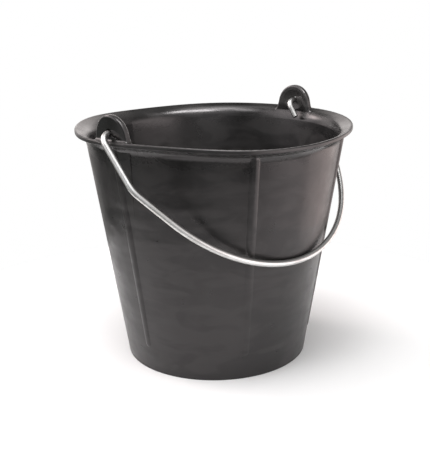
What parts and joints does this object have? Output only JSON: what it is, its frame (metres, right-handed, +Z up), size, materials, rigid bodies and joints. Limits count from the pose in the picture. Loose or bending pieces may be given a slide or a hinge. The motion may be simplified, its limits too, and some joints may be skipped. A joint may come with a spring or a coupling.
{
  "type": "bucket",
  "caption": "Round tapered bucket with a sloping rim flange, raised ears, ribs down the wall and a bare steel wire bail that swings over the rim.",
  "frame": {"origin": "centre of the base on the floor", "axes": "+Z up the bucket, +X along the pivot line of the bail through both ears, the bail rests on the -Y side"},
  "size_m": [0.3302, 0.31, 0.2934],
  "materials": {
    "moulding": "satin",
    "wire": "satin"
  },
  "bodies": {
    "bucket": {"bucket_body": "moulding"},
    "bail": {"wire_bail": "wire"}
  },
  "joints": [
    {"name": "bail_swing", "type": "hinge", "parent": "bucket", "child": "bail", "pos_m": [0, 0, 0.2749], "axis": [-1, 0, 0], "range_deg": [0, 275.2]}
  ]
}
